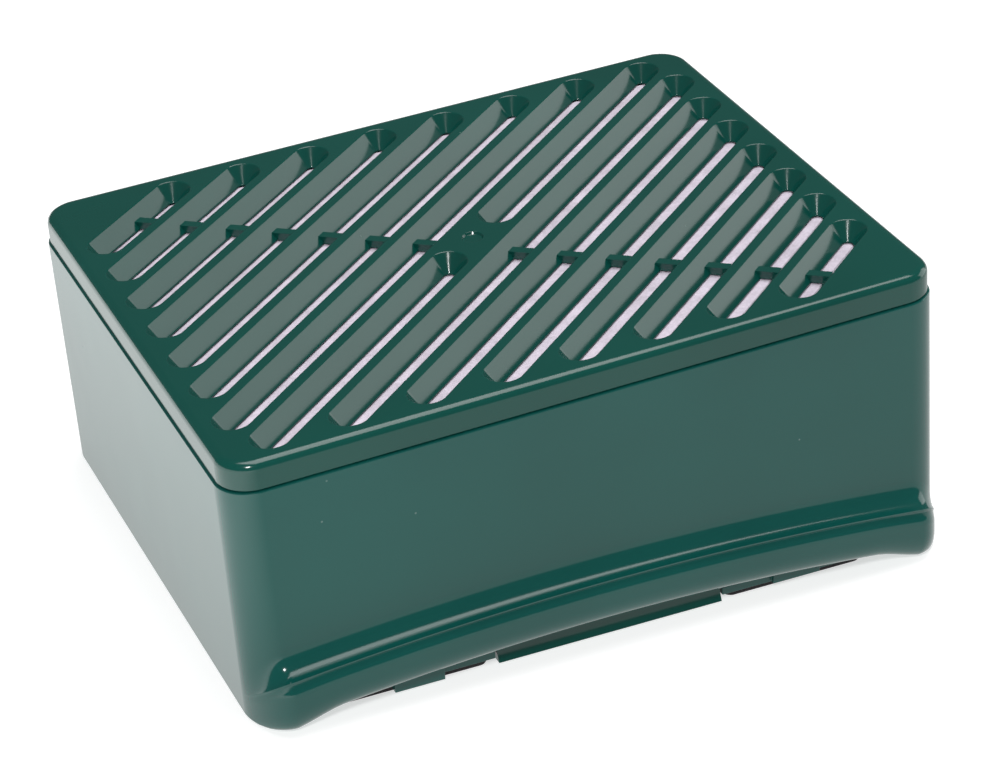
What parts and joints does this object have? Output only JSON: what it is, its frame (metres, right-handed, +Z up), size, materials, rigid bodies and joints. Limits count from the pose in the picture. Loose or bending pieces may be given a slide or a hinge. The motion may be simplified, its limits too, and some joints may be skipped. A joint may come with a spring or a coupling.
{
  "type": "bait station",
  "caption": "Flat green moulded insect bait station with a diagonal slotted grille lid, white bait pad, lift-out cassette and a refill slide door in its base.",
  "frame": {"origin": "on the floor, at the centre of the bottom of the whole outline", "axes": "+X along the long front edge towards the higher end of the sloping roof, +Y from the lipped front to the back, +Z up"},
  "size_m": [0.1227, 0.1008, 0.0519],
  "materials": {
    "moulded_green": "injection moulded polypropylene, dark green, glossy",
    "lid_green": "injection moulded polypropylene, dark green, glossy with faint sink marks",
    "cellulose_pad": "pressed white cellulose pulp",
    "bait_matrix": "pressed cellulose bait, matte",
    "screw_steel": "zinc plated",
    "foam_black": "closed cell foam, matte black"
  },
  "bodies": {
    "housing_body": {"housing": "moulded_green", "base_frame": "moulded_green", "base_screws": "screw_steel", "foam_left": "foam_black", "foam_right": "foam_black", "foam_back": "foam_black"},
    "lid": {"grille_lid": "lid_green"},
    "cassette": {"bait_cassette": "moulded_green", "pad_frame": "moulded_green", "bait_pad": "cellulose_pad", "bait_block_1": "bait_matrix", "bait_block_2": "bait_matrix", "bait_block_3": "bait_matrix", "bait_block_4": "bait_matrix", "bait_block_5": "bait_matrix", "bait_block_6": "bait_matrix"},
    "door": {"slide_door": "lid_green"}
  },
  "joints": [
    {"name": "lid_lift", "type": "slide", "parent": "housing_body", "child": "lid", "axis": [-0.0366, 0, 0.9993], "range_m": [0, 0.072]},
    {"name": "cassette_lift", "type": "slide", "parent": "housing_body", "child": "cassette", "axis": [-0.0366, 0, 0.9993], "range_m": [0, 0.036]},
    {"name": "door_slide", "type": "slide", "parent": "housing_body", "child": "door", "axis": [0, -1, 0], "range_m": [0, 0.06]}
  ],
  "couplings": [
    {"joint": "cassette_lift", "follows": "lid_lift", "ratio": 0.5}
  ]
}
